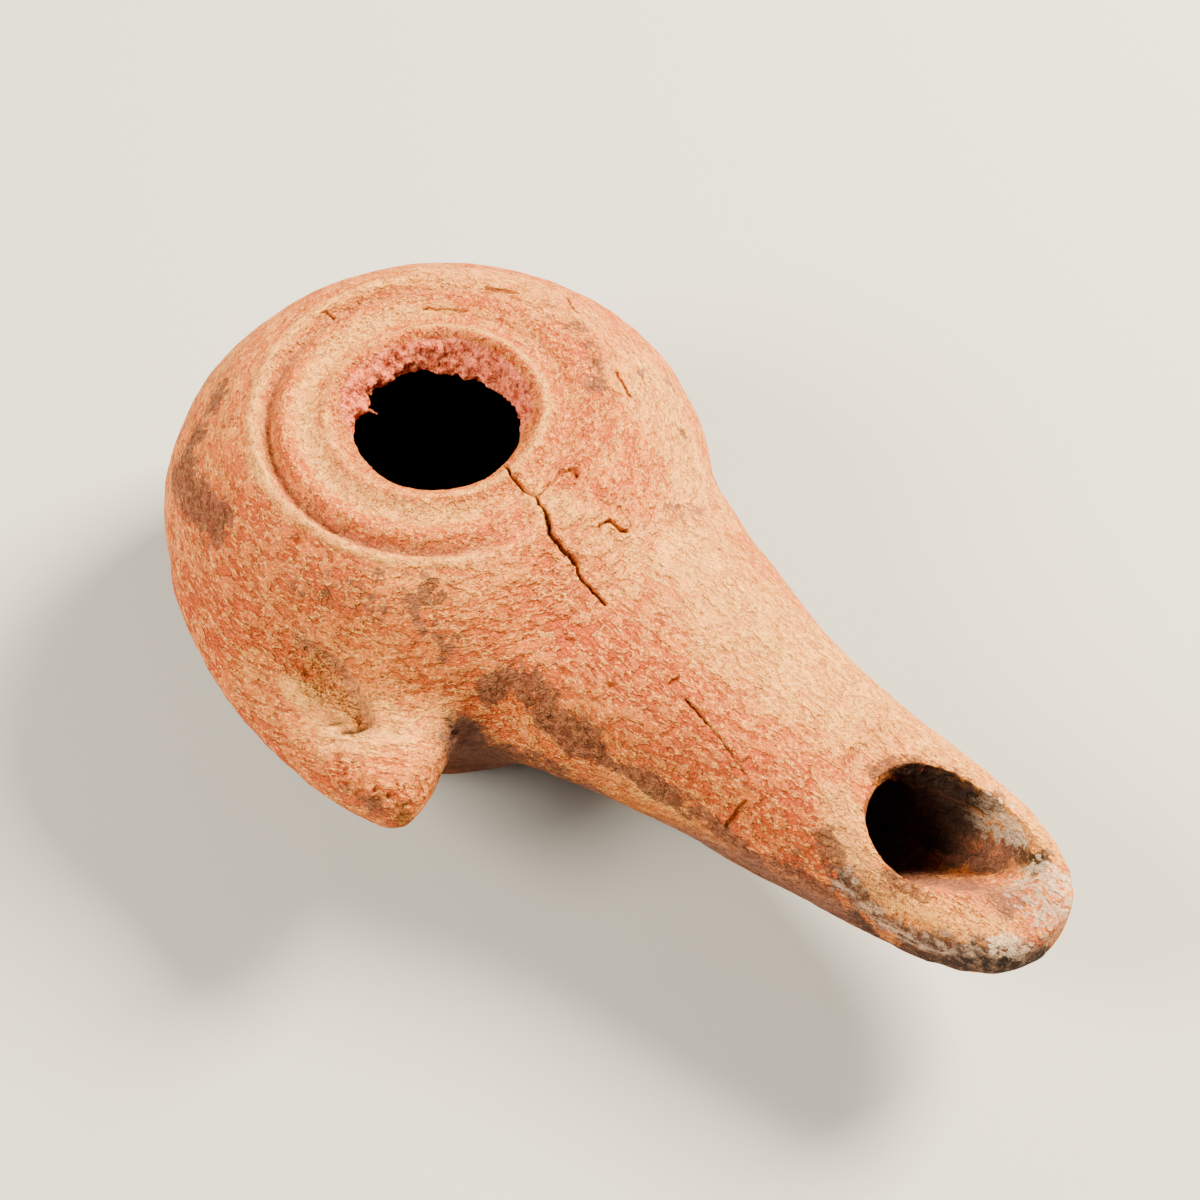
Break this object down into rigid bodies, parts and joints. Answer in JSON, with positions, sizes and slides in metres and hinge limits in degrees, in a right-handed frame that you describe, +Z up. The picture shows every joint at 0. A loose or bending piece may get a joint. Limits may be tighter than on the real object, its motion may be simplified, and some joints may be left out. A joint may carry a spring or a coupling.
{
  "type": "pottery oil lamp",
  "caption": "Hand-made fired-clay oil lamp: hollow round body with a ringed top and broken filling hole, long nozzle with a wick hole, and a swept side lug with a thumb hollow.",
  "frame": {"origin": "centre of the flat underside of the foot, on the axis of the turned body", "axes": "+X along the nozzle towards the wick hole, +Z up through the filling hole, the side lug on the -Y side"},
  "size_m": [0.1186, 0.0701, 0.0372],
  "materials": {
    "terracotta": "unglazed fired clay, worn and dry, with brown stains, cream wear on the raised edges and soot at the wick hole"
  },
  "bodies": {
    "root": {"oil_lamp": "terracotta"}
  },
  "joints": []
}
